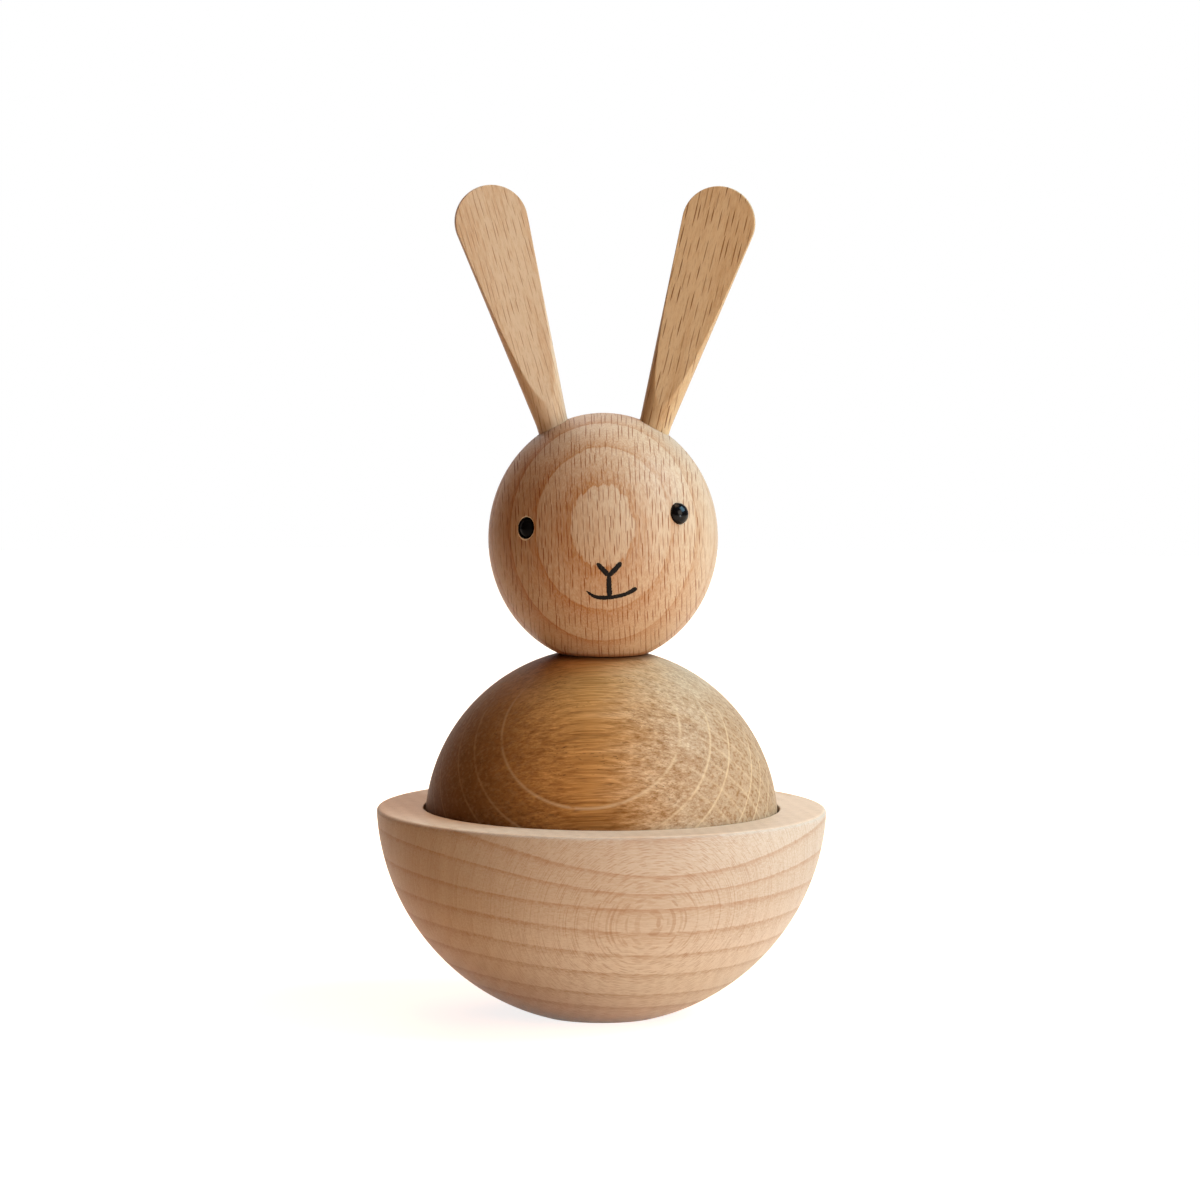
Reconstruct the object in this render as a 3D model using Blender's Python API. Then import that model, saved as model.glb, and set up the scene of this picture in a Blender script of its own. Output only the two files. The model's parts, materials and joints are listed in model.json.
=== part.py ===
"""Wooden rabbit figure: a half-ball base, a dome that turns in it, an egg-shaped head and two ears.

Metres, +Z up, -Y is the front. The origin is the centre of the foot.
Left and right are as seen from the front.
"""
import math

import bmesh
import bpy
from mathutils import Matrix, Vector

# Base: a half-ball with a flat foot, and a recess in its top that the dome sits in
RIM_WIDTH = 0.0104
RIM_BELOW_BALL_CENTRE = 0.0018
RIM_ROUND = 0.0009
FOOT_RADIUS = 0.0135
SEAT_DEPTH = 0.0040
SEAT_SIDE_GAP = 0.0004

# Dome: a half-ball with a small flat on top for the head
DOME_RADIUS = 0.0392
NECK_FLAT_RADIUS = 0.0097

# Head: an egg that is a little taller than wide, flat underneath
HEAD_RADIUS = 0.0254
HEAD_HALF_HEIGHT = 0.0277
HEAD_FLAT_RADIUS = 0.0102

# Dowels inside the stack
BASE_DOWEL_RADIUS = 0.0060
BASE_DOWEL_IN_BASE = 0.0140
BASE_DOWEL_IN_DOME = 0.0100
NECK_DOWEL_RADIUS = 0.0040
NECK_DOWEL_IN_DOME = 0.0100
NECK_DOWEL_IN_HEAD = 0.0120
DOWEL_CHAMFER = 0.0006

# Ears: round sticks that widen to a round end and are hollowed flat on both faces
EAR_ROOT_ANGLE = math.radians(26.2)
EAR_TILT = math.radians(17.1)
EAR_LENGTH = 0.0551
EAR_STEM_RADIUS = 0.00357
EAR_STEM_STRAIGHT = 0.0010
EAR_END_RADIUS = 0.0081
EAR_TIP_THICKNESS = 0.0025
EAR_FACE_HOLLOW_RADIUS = 0.450
EAR_TENON_LENGTH = 0.0090
EAR_TWIST_LEFT = math.radians(9.0)
EAR_TWIST_RIGHT = math.radians(6.0)

# Eyes: domed pegs in drilled holes
EYE_RADIUS = 0.00235
EYE_PEG_LENGTH = 0.0050
EYE_DOME_HEIGHT = 0.0018
EYE_AZIMUTH = math.radians(42.3)
EYE_HEIGHT_LEFT = 0.0037
EYE_HEIGHT_RIGHT = 0.0070
EYE_SHOULDER_LEFT = -0.0013
EYE_SHOULDER_RIGHT = -0.0001

# Clearances
SEAT_GAP = 0.0003
GLUE_GAP = 0.00015
TURNING_GAP = 0.0002
HOLE_END_GAP = 0.0005

# How far a facet may lie inside the true curve, and the fewest facets that a full turn has
CURVE_TOLERANCE = 0.00006
FEWEST_FACETS = 24
SHARP_ANGLE = math.radians(32.0)
WELD_DISTANCE = 1e-6

# How far a cutting tool runs past what it cuts
DRILL_OVERRUN = 0.012
PLANE_OVERRUN = 0.005

# Finishes: linear colour and roughness
BASE_BEECH = ((0.74, 0.55, 0.40), 0.55)
DOWEL_BEECH = ((0.70, 0.52, 0.36), 0.60)
DOME_OAK = ((0.42, 0.26, 0.12), 0.50)
HEAD_BEECH = ((0.66, 0.42, 0.26), 0.50)
LEFT_EAR_BEECH = ((0.60, 0.40, 0.23), 0.50)
RIGHT_EAR_BEECH = ((0.50, 0.32, 0.17), 0.50)
EYE_BLACK = ((0.006, 0.006, 0.007), 0.12)

# Places that follow from the sizes above
SEAT_RADIUS = DOME_RADIUS + SEAT_SIDE_GAP
BASE_RADIUS = SEAT_RADIUS + RIM_WIDTH
BALL_CENTRE_Z = math.sqrt(BASE_RADIUS**2 - FOOT_RADIUS**2)
RIM_Z = BALL_CENTRE_Z - RIM_BELOW_BALL_CENTRE
SEAT_Z = RIM_Z - SEAT_DEPTH
DOME_Z = SEAT_Z + SEAT_GAP
DOME_HEIGHT = math.sqrt(DOME_RADIUS**2 - NECK_FLAT_RADIUS**2)
HEAD_FLAT_DROP = HEAD_HALF_HEIGHT * math.sqrt(1 - (HEAD_FLAT_RADIUS / HEAD_RADIUS) ** 2)
HEAD_CENTRE_ABOVE_DOME = DOME_HEIGHT + SEAT_GAP + HEAD_FLAT_DROP


def clear_scene():
    for item in list(bpy.data.objects):
        bpy.data.objects.remove(item, do_unlink=True)


def principled(name, finish):
    colour, roughness = finish
    material = bpy.data.materials.new(name)
    material.use_nodes = True
    shader = material.node_tree.nodes["Principled BSDF"]
    shader.inputs["Base Color"].default_value = (*colour, 1.0)
    shader.inputs["Roughness"].default_value = roughness
    shader.inputs["Metallic"].default_value = 0.0
    return material


def facets(radius):
    """How many facets a full turn of this radius has, in eighths so that it fills its box."""
    needed = math.pi / math.acos(1 - CURVE_TOLERANCE / radius)
    return 8 * math.ceil(max(needed, FEWEST_FACETS) / 8)


def arc(radius, start, end, centre=(0.0, 0.0), stretch=1.0):
    """Points (r, z) along a circle, or one stretched along Z, from the start angle to the end angle."""
    steps = math.ceil(abs(end - start) / math.tau * facets(radius))
    angles = [start + (end - start) * i / steps for i in range(steps + 1)]
    return [(centre[0] + radius * math.cos(a), centre[1] + stretch * radius * math.sin(a)) for a in angles]


def up_to_axis(points):
    """The points with the last one put exactly on the turning axis."""
    return points[:-1] + [(0.0, points[-1][1])]


def add_object(name, mesh, material=None, parent=None, place=None):
    item = bpy.data.objects.new(name, mesh)
    bpy.context.scene.collection.objects.link(item)
    if material:
        mesh.materials.append(material)
    item.parent = parent
    item.matrix_local = place or Matrix.Identity(4)
    return item


def mesh_from(bm, name):
    bmesh.ops.recalc_face_normals(bm, faces=bm.faces)
    mesh = bpy.data.meshes.new(name)
    bm.to_mesh(mesh)
    bm.free()
    mesh.shade_smooth()
    mesh.set_sharp_from_angle(angle=SHARP_ANGLE)
    return mesh


def turned(name, profile):
    """A solid of revolution round Z. The open profile of (r, z) points starts and ends on the axis."""
    segments = facets(max(r for r, z in profile))
    bm = bmesh.new()
    verts = [bm.verts.new((r, 0.0, z)) for r, z in profile]
    edges = [bm.edges.new(pair) for pair in zip(verts, verts[1:])]
    bmesh.ops.spin(
        bm,
        geom=verts + edges,
        cent=(0, 0, 0),
        axis=(0, 0, 1),
        angle=math.tau,
        steps=segments,
        use_merge=True,
    )
    bmesh.ops.remove_doubles(bm, verts=bm.verts, dist=WELD_DISTANCE)
    bmesh.ops.dissolve_degenerate(bm, edges=bm.edges, dist=WELD_DISTANCE)
    return mesh_from(bm, name)


def cut(target, cutter):
    """Take the cutter's shape out of the target, and keep the cutter as a hidden guide."""
    cutter.hide_render = True
    cutter.display_type = "WIRE"
    boolean = target.modifiers.new(cutter.name, "BOOLEAN")
    boolean.operation = "DIFFERENCE"
    boolean.solver = "EXACT"
    boolean.object = cutter


def smooth_after_cuts(target):
    """Weight the shading by face size, so that cut round faces still look round."""
    target.modifiers.new("shading", "WEIGHTED_NORMAL").keep_sharp = True


def frame_along(origin, direction, front):
    """A placement with its Z along direction and its -Y turned as far as it can be towards front."""
    z_axis = direction.normalized()
    x_axis = z_axis.cross(front).normalized()
    y_axis = z_axis.cross(x_axis)
    rotation = Matrix((x_axis, y_axis, z_axis)).transposed()
    return Matrix.Translation(origin) @ rotation.to_4x4()


def make_base(material):
    foot_angle = -math.acos(FOOT_RADIUS / BASE_RADIUS)
    rounding_centre_z = RIM_Z - RIM_ROUND
    rounding_centre_r = math.sqrt(
        (BASE_RADIUS - RIM_ROUND) ** 2 - (BALL_CENTRE_Z - rounding_centre_z) ** 2
    )
    side_end = -math.asin((BALL_CENTRE_Z - rounding_centre_z) / (BASE_RADIUS - RIM_ROUND))
    bore_radius = BASE_DOWEL_RADIUS + GLUE_GAP
    bore_end_z = SEAT_Z - BASE_DOWEL_IN_BASE - HOLE_END_GAP
    profile = [(0.0, 0.0)]
    profile += arc(BASE_RADIUS, foot_angle, side_end, centre=(0.0, BALL_CENTRE_Z))
    profile += arc(RIM_ROUND, side_end, math.pi / 2, centre=(rounding_centre_r, rounding_centre_z))[1:]
    profile += [(SEAT_RADIUS, RIM_Z), (SEAT_RADIUS, SEAT_Z)]
    profile += [(bore_radius, SEAT_Z), (bore_radius, bore_end_z), (0.0, bore_end_z)]
    return add_object("base_bowl", turned("base_bowl", profile), material)


def make_dowel(name, radius, low, high, material, parent):
    """A chamfered dowel from the low end to the high end, given in its parent's frame."""
    length = high - low
    profile = [
        (0.0, 0.0),
        (radius - DOWEL_CHAMFER, 0.0),
        (radius, DOWEL_CHAMFER),
        (radius, length - DOWEL_CHAMFER),
        (radius - DOWEL_CHAMFER, length),
        (0.0, length),
    ]
    return add_object(name, turned(name, profile), material, parent, Matrix.Translation((0, 0, low)))


def make_dome(material, base):
    pivot_radius = BASE_DOWEL_RADIUS + TURNING_GAP
    pivot_end = BASE_DOWEL_IN_DOME + HOLE_END_GAP
    neck_radius = NECK_DOWEL_RADIUS + GLUE_GAP
    neck_end = DOME_HEIGHT - NECK_DOWEL_IN_DOME - HOLE_END_GAP
    top_angle = math.acos(NECK_FLAT_RADIUS / DOME_RADIUS)
    profile = [(0.0, pivot_end), (pivot_radius, pivot_end), (pivot_radius, 0.0)]
    profile += arc(DOME_RADIUS, 0.0, top_angle)
    profile += [(neck_radius, DOME_HEIGHT), (neck_radius, neck_end), (0.0, neck_end)]
    mesh = turned("body_dome", profile)
    return add_object("body_dome", mesh, material, base, Matrix.Translation((0, 0, DOME_Z)))


def make_head(material, dome):
    bore_radius = NECK_DOWEL_RADIUS + TURNING_GAP
    bore_end = -HEAD_FLAT_DROP + NECK_DOWEL_IN_HEAD + HOLE_END_GAP
    flat_angle = -math.acos(HEAD_FLAT_RADIUS / HEAD_RADIUS)
    profile = [(0.0, bore_end), (bore_radius, bore_end), (bore_radius, -HEAD_FLAT_DROP)]
    profile += up_to_axis(
        arc(HEAD_RADIUS, flat_angle, math.pi / 2, stretch=HEAD_HALF_HEIGHT / HEAD_RADIUS)
    )
    mesh = turned("head", profile)
    return add_object("head", mesh, material, dome, Matrix.Translation((0, 0, HEAD_CENTRE_ABOVE_DOME)))


def ear_place(side):
    """Where an ear's axis leaves the head, in the head's frame. The side is -1 for left and +1 for right."""
    root = Vector(
        (side * HEAD_RADIUS * math.sin(EAR_ROOT_ANGLE), 0.0, HEAD_HALF_HEIGHT * math.cos(EAR_ROOT_ANGLE))
    )
    direction = Vector((side * math.sin(EAR_TILT), 0.0, math.cos(EAR_TILT)))
    return frame_along(root, direction, Vector((0, -1, 0)))


def eye_place(side, height):
    """Where an eye's axis leaves the head, in the head's frame, square to the surface there."""
    ring = HEAD_RADIUS * math.sqrt(1 - (height / HEAD_HALF_HEIGHT) ** 2)
    point = Vector((side * ring * math.sin(EYE_AZIMUTH), -ring * math.cos(EYE_AZIMUTH), height))
    normal = Vector((point.x / HEAD_RADIUS**2, point.y / HEAD_RADIUS**2, point.z / HEAD_HALF_HEIGHT**2))
    return frame_along(point, normal, Vector((0, 0, -1)))


def drill(target, name, place, radius, depth):
    """A blind round hole, from well outside the surface to the depth along the placement's -Z."""
    profile = [(0.0, -depth), (radius, -depth), (radius, DRILL_OVERRUN), (0.0, DRILL_OVERRUN)]
    cutter = add_object(name, turned(name, profile), None, target, place)
    cut(target, cutter)


def ear_face_cutter(name, side, ear):
    """What is planed off one face: all beyond a long hollow arc that is thinnest at the ear's tip."""
    width = 2 * EAR_END_RADIUS
    hollow_centre = (EAR_TIP_THICKNESS / 2 + EAR_FACE_HOLLOW_RADIUS, EAR_LENGTH)
    root_angle = math.pi + math.asin(EAR_LENGTH / EAR_FACE_HOLLOW_RADIUS)
    past_tip_angle = math.pi - math.asin(PLANE_OVERRUN / EAR_FACE_HOLLOW_RADIUS)
    face = arc(EAR_FACE_HOLLOW_RADIUS, root_angle, past_tip_angle, centre=hollow_centre)
    outer = face[0][0] + width
    outline = face + [(outer, face[-1][1]), (outer, face[0][1])]
    bm = bmesh.new()
    sheet = bm.faces.new([bm.verts.new((-width, side * y, z)) for y, z in outline])
    swept = bmesh.ops.extrude_face_region(bm, geom=[sheet])
    moved = [v for v in swept["geom"] if isinstance(v, bmesh.types.BMVert)]
    bmesh.ops.translate(bm, vec=(2 * width, 0, 0), verts=moved)
    return add_object(name, mesh_from(bm, name), None, ear)


def make_ear(name, side, twist, material, head):
    end_z = EAR_LENGTH - EAR_END_RADIUS
    rise = end_z - EAR_STEM_STRAIGHT
    slope = math.asin(EAR_END_RADIUS / math.hypot(rise, EAR_STEM_RADIUS)) - math.atan2(EAR_STEM_RADIUS, rise)
    profile = [
        (0.0, -EAR_TENON_LENGTH),
        (EAR_STEM_RADIUS - DOWEL_CHAMFER, -EAR_TENON_LENGTH),
        (EAR_STEM_RADIUS, -EAR_TENON_LENGTH + DOWEL_CHAMFER),
        (EAR_STEM_RADIUS, EAR_STEM_STRAIGHT),
    ]
    profile += up_to_axis(arc(EAR_END_RADIUS, -slope, math.pi / 2, centre=(0.0, end_z)))
    place = ear_place(side) @ Matrix.Rotation(-side * twist, 4, "Z")
    ear = add_object(name, turned(name, profile), material, head, place)
    for face, direction in (("front", -1), ("back", 1)):
        cut(ear, ear_face_cutter(f"{name}_{face}_planed_off", direction, ear))
    smooth_after_cuts(ear)
    return ear


def make_eye(name, place, shoulder, material, head):
    """A peg whose dome starts at the shoulder, measured along the hole from the head's surface."""
    profile = [(0.0, -EYE_PEG_LENGTH), (EYE_RADIUS, -EYE_PEG_LENGTH)]
    profile += up_to_axis(arc(EYE_RADIUS, 0.0, math.pi / 2, stretch=EYE_DOME_HEIGHT / EYE_RADIUS))
    seated = place @ Matrix.Translation((0, 0, shoulder))
    return add_object(name, turned(name, profile), material, head, seated)


def make_ears(head):
    socket_depth = EAR_TENON_LENGTH + HOLE_END_GAP
    ears = (
        ("ear_left", -1, EAR_TWIST_LEFT, LEFT_EAR_BEECH),
        ("ear_right", 1, EAR_TWIST_RIGHT, RIGHT_EAR_BEECH),
    )
    for name, side, twist, finish in ears:
        drill(head, f"{name}_socket", ear_place(side), EAR_STEM_RADIUS + TURNING_GAP, socket_depth)
        make_ear(name, side, twist, principled(f"beech_{name}", finish), head)


def make_eyes(head):
    eyes = (
        ("eye_left", -1, EYE_HEIGHT_LEFT, EYE_SHOULDER_LEFT),
        ("eye_right", 1, EYE_HEIGHT_RIGHT, EYE_SHOULDER_RIGHT),
    )
    for name, side, height, shoulder in eyes:
        place = eye_place(side, height)
        hole_depth = EYE_PEG_LENGTH - shoulder + HOLE_END_GAP
        drill(head, f"{name}_hole", place, EYE_RADIUS + GLUE_GAP, hole_depth)
        make_eye(name, place, shoulder, principled(f"black_{name}", EYE_BLACK), head)


def build():
    clear_scene()
    base = make_base(principled("beech_base", BASE_BEECH))
    pivot_beech = principled("beech_base_dowel", DOWEL_BEECH)
    pivot_low = SEAT_Z - BASE_DOWEL_IN_BASE
    pivot_high = DOME_Z + BASE_DOWEL_IN_DOME
    make_dowel("base_dowel", BASE_DOWEL_RADIUS, pivot_low, pivot_high, pivot_beech, base)
    dome = make_dome(principled("oak_dome", DOME_OAK), base)
    neck_beech = principled("beech_neck_dowel", DOWEL_BEECH)
    neck_low = DOME_HEIGHT - NECK_DOWEL_IN_DOME
    neck_high = DOME_HEIGHT + SEAT_GAP + NECK_DOWEL_IN_HEAD
    make_dowel("neck_dowel", NECK_DOWEL_RADIUS, neck_low, neck_high, neck_beech, dome)
    head = make_head(principled("beech_head", HEAD_BEECH), dome)
    make_ears(head)
    make_eyes(head)
    smooth_after_cuts(head)


build()
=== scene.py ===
"""Looks of the wooden rabbit figure: fine turned meshes, solid wood grain, studio light and camera.

Metres, +Z up, -Y is the front, left and right as seen from the front. Grain sizes are millimetres.
"""
import json
import math
import random
from collections import namedtuple

import bmesh
import bpy
import numpy as np
from mathutils import Matrix, Vector


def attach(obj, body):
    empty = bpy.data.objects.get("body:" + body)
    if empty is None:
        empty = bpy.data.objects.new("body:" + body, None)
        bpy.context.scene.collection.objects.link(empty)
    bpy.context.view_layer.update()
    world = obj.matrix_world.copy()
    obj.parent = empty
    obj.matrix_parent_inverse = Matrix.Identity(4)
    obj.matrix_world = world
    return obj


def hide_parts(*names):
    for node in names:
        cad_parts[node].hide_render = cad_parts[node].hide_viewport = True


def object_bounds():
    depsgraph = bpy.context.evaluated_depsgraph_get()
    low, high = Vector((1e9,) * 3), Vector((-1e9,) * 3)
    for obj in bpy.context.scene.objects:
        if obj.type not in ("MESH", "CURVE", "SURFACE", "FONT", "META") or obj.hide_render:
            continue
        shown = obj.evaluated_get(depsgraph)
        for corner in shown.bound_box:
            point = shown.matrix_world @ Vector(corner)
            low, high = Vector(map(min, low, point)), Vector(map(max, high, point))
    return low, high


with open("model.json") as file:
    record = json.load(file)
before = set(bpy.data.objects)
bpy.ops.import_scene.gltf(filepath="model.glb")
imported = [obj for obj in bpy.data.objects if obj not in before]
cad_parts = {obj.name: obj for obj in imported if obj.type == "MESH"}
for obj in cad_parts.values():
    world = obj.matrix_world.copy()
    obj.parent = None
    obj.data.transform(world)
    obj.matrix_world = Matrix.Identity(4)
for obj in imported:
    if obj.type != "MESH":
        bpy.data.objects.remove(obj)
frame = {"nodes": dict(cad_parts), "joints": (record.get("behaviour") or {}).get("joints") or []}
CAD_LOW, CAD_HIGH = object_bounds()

# Sizes shared with the solids
BASE_RADIUS = 0.0500
FOOT_RADIUS = 0.0135
RIM_BELOW_BALL_CENTRE = 0.0018
RIM_ROUND = 0.0009
SEAT_RADIUS = 0.0396
SEAT_DEPTH = 0.0040
BASE_BORE_RADIUS = 0.00615
BASE_BORE_DEPTH = 0.0145
DOME_RADIUS = 0.0392
NECK_FLAT_RADIUS = 0.0097
PIVOT_BORE_RADIUS = 0.0062
PIVOT_BORE_DEPTH = 0.0105
NECK_BORE_RADIUS = 0.00415
NECK_BORE_DEPTH = 0.0105
HEAD_RADIUS = 0.0254
HEAD_HALF_HEIGHT = 0.0277
HEAD_FLAT_RADIUS = 0.0102
HEAD_BORE_RADIUS = 0.0042
HEAD_BORE_DEPTH = 0.0125
EAR_LENGTH = 0.0551
EAR_STEM_RADIUS = 0.00357
EAR_STEM_STRAIGHT = 0.0010
EAR_END_RADIUS = 0.0081
EAR_TIP_THICKNESS = 0.0025
EAR_FACE_HOLLOW_RADIUS = 0.450
EAR_TENON_LENGTH = 0.0090
EAR_TENON_CHAMFER = 0.0006
EAR_TWIST = {"ear_left": math.radians(9.0), "ear_right": math.radians(-6.0)}
EAR_SOCKET_RADIUS = 0.00377
EAR_SOCKET_DEPTH = 0.0095
EYE_RADIUS = 0.00235
EYE_PEG_LENGTH = 0.0050
EYE_DOME_HEIGHT = 0.0018
EYE_AZIMUTH = math.radians(42.3)
EYE_HEIGHT = {"eye_left": 0.0037, "eye_right": 0.0070}
EYE_SHOULDER = {"eye_left": -0.0013, "eye_right": -0.0001}
EYE_HOLE_RADIUS = 0.0024
EYE_HOLE_END_GAP = 0.0005

# Small roundings that sanding leaves on the edges
INNER_RIM_ROUND = 0.00025
FOOT_ROUND = 0.0005
DOME_EDGE_ROUND = 0.0003
NECK_FLAT_ROUND = 0.0004
HEAD_FLAT_ROUND = 0.0004
EAR_EDGE_ROUND = 0.00016
EYE_EDGE_ROUND = 0.00012

# Chips round the eye holes: metres, waves round the mouth, and how the parts of a chip's width add up
CHIP_DEPTH = 0.00008
CHIP_CLEAR = 0.0012
EYE_CHIP_WIDTH = {"eye_left": 0.00030, "eye_right": 0.00008}
CHIP_WAVES = (2, 3, 5, 9, 14)
CHIP_WAVE_SIZES = (0.3, 1.0)
CHIP_EVEN = 0.3
CHIP_ABOVE_AND_BELOW = 0.7
CHIP_ONE_SIDED = 0.4
CHIP_SIDE_RADIANS = 0.9
CHIP_RAGGED = 0.25
CHIP_LEAST = 0.1

# How finely the surfaces are divided, and where their shading breaks
TURN_SEGMENTS = 224
SMALL_TURN_SEGMENTS = 96
ARC_STEP = math.radians(1.4)
FILLET_STEPS = 6
FILLET_SUPPORT = 1.4
RIM_STEPS = 9
RIM_SUPPORT = 0.0004
EAR_TENON_RING = 0.003
EAR_RING_STEP = 0.0006
EAR_END_STEPS = 56
EAR_FLAT_STEPS = 26
EAR_EDGE_STEPS = 12
EAR_FLAT_LIMIT = 0.985
EYE_EDGE_POINT = 6
SHARP_ANGLE = math.radians(35)
EAR_SHARP_ANGLE = math.radians(50)
SKIN_TOLERANCE = 0.00002

# Hand-drawn face: raised ink in metres, strokes in millimetres from the head's centre, and their widths
INK_HEIGHT = 0.00005
INK_EDGE = 0.000015
INK_ROOT = -0.00006
PEN_SEED = 7
PEN_STEPS = 14
PEN_SECTION = (-1.0, -0.6, 0.0, 0.6, 1.0)
PEN_UNSTEADINESS = (0.84, 1.12)
PEN_END_SHARE = 0.12
PEN_END_GROWTH = 0.2
NOSE_MEETING = (1.29, -6.16)
NOSE_LEFT = [(-1.31, -3.34), (-0.1, -4.62), NOSE_MEETING]
NOSE_LEFT_WIDTHS = [0.95, 1.20, 1.15]
NOSE_RIGHT = [(3.98, -3.16), (2.72, -4.60), NOSE_MEETING]
NOSE_RIGHT_WIDTHS = [1.05, 1.20, 1.15]
STEM = [NOSE_MEETING, (1.36, -8.3), (1.48, -10.84)]
STEM_WIDTHS = [1.30, 1.15, 1.30]
MOUTH = [(-3.6, -9.57), (-1.82, -10.77), (0.16, -11.05), (2.66, -10.83),
         (4.78, -10.31), (6.14, -9.69), (7.37, -8.92)]
MOUTH_WIDTHS = [0.40, 0.78, 0.98, 0.92, 0.84, 0.98, 1.10]

# Camera, measured in a 1200 x 1200 picture
IMAGE_PX = 1200
FOCAL_PX = 5896.0
PRINCIPAL_X_PX = 602.74
SENSOR_MM = 36.0
CAMERA_PLACE = (0.0, -1.3, 0.21647)
CAMERA_DOWN = math.radians(5.4465)
CAMERA_ROLL = math.radians(0.336)
CAMERA_CLIP = (0.05, 20.0)

# Light: a cool soft box on the right, others in front, above and behind, a small low card, a dim room.
# A lamp has its direction as seen from the figure, power, colour, distance and size.
Lamp = namedtuple("Lamp", "direction power colour distance size", defaults=(1.0, 0.60))
LAMPS = {
    "key": Lamp((0.766, -0.087, 0.643), 14.8, (0.40, 0.74, 1.0)),
    "front": Lamp((0.629, -0.698, 0.342), 5.7, (1.0, 0.88, 0.75)),
    "card": Lamp((0.66, -0.74, -0.12), 0.62, (0.80, 0.92, 1.0), distance=0.45, size=0.10),
    "top": Lamp((0.0, 0.10, 0.995), 4.0, (1.0, 0.66, 0.40)),
    "back": Lamp((-0.2, 0.60, 0.77), 3.0, (0.97, 1.0, 1.0)),
}
ROOM_COLOUR = (0.03, 0.0, 0.0, 1.0)
WHITE = (1.0, 1.0, 1.0, 1.0)
BACKDROP_EDGE = (0.5, 0.9)
BACKGROUND_RAYS = ("Is Camera Ray", "Is Glossy Ray", "Is Transmission Ray")
FLOOR_COLOUR = (0.87, 0.54, 0.30, 1.0)
FLOOR_RADIUS = 1.2
FLOOR_SEGMENTS = 96
FLOOR_ROUGHNESS = 0.9
FLOOR_WHITE_FROM = 0.13
FLOOR_FADE_SHARE = 0.45
FLOOR_GLOW = 0.84

# Wood: depths and sizes are millimetres, but relief is metres, and colours are display values.
# A beech has a light tone, a dark tone and a ray colour. A grain has the directions along the fibres,
# through a ray and outwards through the layers. Rays have a cell and a size, across and along the fibres,
# then how strong they are, how much they sway and how much they fade on faces that show them broadside.
BEECH_GLOSS = 0.10
BASE_GLOSS = 0.07
OAK_GLOSS = 0.03
BLOOM = 0.02
BLOOM_ROUGHNESS = 0.5
BEECH_ROUGHNESS = 0.44
RAW_ROUGHNESS = 0.6
OAK_ROUGHNESS = 0.46
BEECH_RELIEF = 0.00006
OAK_RELIEF = 0.00008
LAYER_EDGE = 0.01
LAYER_ROOM = 10.0
HEAD_FRONT_MM = 25.5
# Painted shade at the neck: on the head, millimetres above its flat where it starts and is full; on the dome,
# how far down its top it reaches
HEAD_NECK_SHADE_TOP = 1.1
HEAD_NECK_SHADE_BOTTOM = 0.1
DOME_NECK_SHADE = 1.0
HEAD_LAYER_HOLLOW = 0.0062
HEAD_LAYER_DEPTHS = [1.3, 5.9, 12.6, 22.0, 29.0, 36.5, 44.5]
HEAD_LAYER_TONES = [(0.0, 0.85), (0.6, 0.65), (2.2, 0.36), (5.0, 0.18), (10.0, 0.10)]
BASE_LAYER_DEPTHS = [1.1, 8.0, 14.4, 20.5, 26.1, 31.2, 37.0, 41.0]
BASE_LAYER_TONES = [(0.0, 0.32), (0.3, 0.70), (0.8, 0.60), (1.4, 0.36), (2.8, 0.20), (6.0, 0.10),
                    (10.0, 0.06)]
HEAD_GRAIN = [(-0.04, 0.16, 0.986), (1, 0, 0.04), (0, -0.987, 0.16)]
BASE_GRAIN = [(0.976, 0.211, 0.05), (0.212, -0.876, -0.432), (0.05, -0.10, 0.99)]
EAR_GRAIN_LEAN = {"ear_left": math.radians(2.0), "ear_right": math.radians(-4.0)}
DOME_GRAIN = [(0.997, -0.05, 0.05), (-0.071, -0.741, 0.668), (0.0, 0.669, 0.743)]
DOME_RAY_PLACES = [34.0, 29.5, 25.6, 19.0, 15.4, 11.0, 6.0]
DOME_RAY_HALF = 0.26
DOME_LAYER_STEP = 4.2
OAK_DARK = (128, 79, 35)
OAK_GOLD = (204, 143, 81)
# Pale end grain, made paler and cooler for a painted sheen of the key light
OAK_END_AND_SHEEN = (211, 181, 147)
OAK_FIBRE = (118, 74, 32)
OAK_PORE = (104, 70, 40)
# Dark pits, and the colour of the painted shade round the neck
OAK_PIT_AND_SHADE = (62, 38, 20)
# The dome's darker left end: darker wood, and painted shade where the key light does not reach
OAK_DARK_END_AND_SHADE = (88, 60, 28)
OAK_RAY = (212, 178, 138)
BASE_WOOD = ((199, 180, 161), (173, 137, 109), (162, 123, 92))
# Painted warm light on the base's faces that look up, such as its rim
BASE_PAINTED_TOP_LIGHT = (234, 194, 156)
# A paler tone low on the base: painted bounce light from the floor
BASE_PAINTED_BOUNCE = (216, 199, 182)
HEAD_WOOD = ((197, 167, 137), (166, 112, 68), (128, 70, 33))
RAW_WOOD = ((236, 218, 194), (222, 196, 164), (190, 150, 112))
EAR_LEFT_WOOD = ((203, 174, 143), (182, 137, 95), (141, 94, 56))
EAR_RIGHT_WOOD = ((195, 162, 124), (172, 130, 86), (110, 69, 37))
DOWEL_WOOD = ((224, 188, 150), (204, 158, 116), (160, 110, 72))
Grain = namedtuple("Grain", "fibre through outward")
Rays = namedtuple("Rays", "cell size share sway fade")
BASE_RAYS = Rays((0.17, 3.4), (0.12, 2.6), 0.42, 0.15, 0.0)
HEAD_RAYS = Rays((1.15, 3.4), (0.28, 4.4), 0.93, 0.6, 0.9)
RAW_RAYS = Rays((0.9, 5.0), (0.2, 2.0), 0.3, 0.6, 0.9)
EAR_LEFT_RAYS = Rays((1.20, 6.0), (0.25, 6.5), 0.70, 0.6, 0.9)
EAR_RIGHT_RAYS = Rays((1.50, 6.4), (0.34, 6.6), 0.90, 0.6, 0.9)
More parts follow.
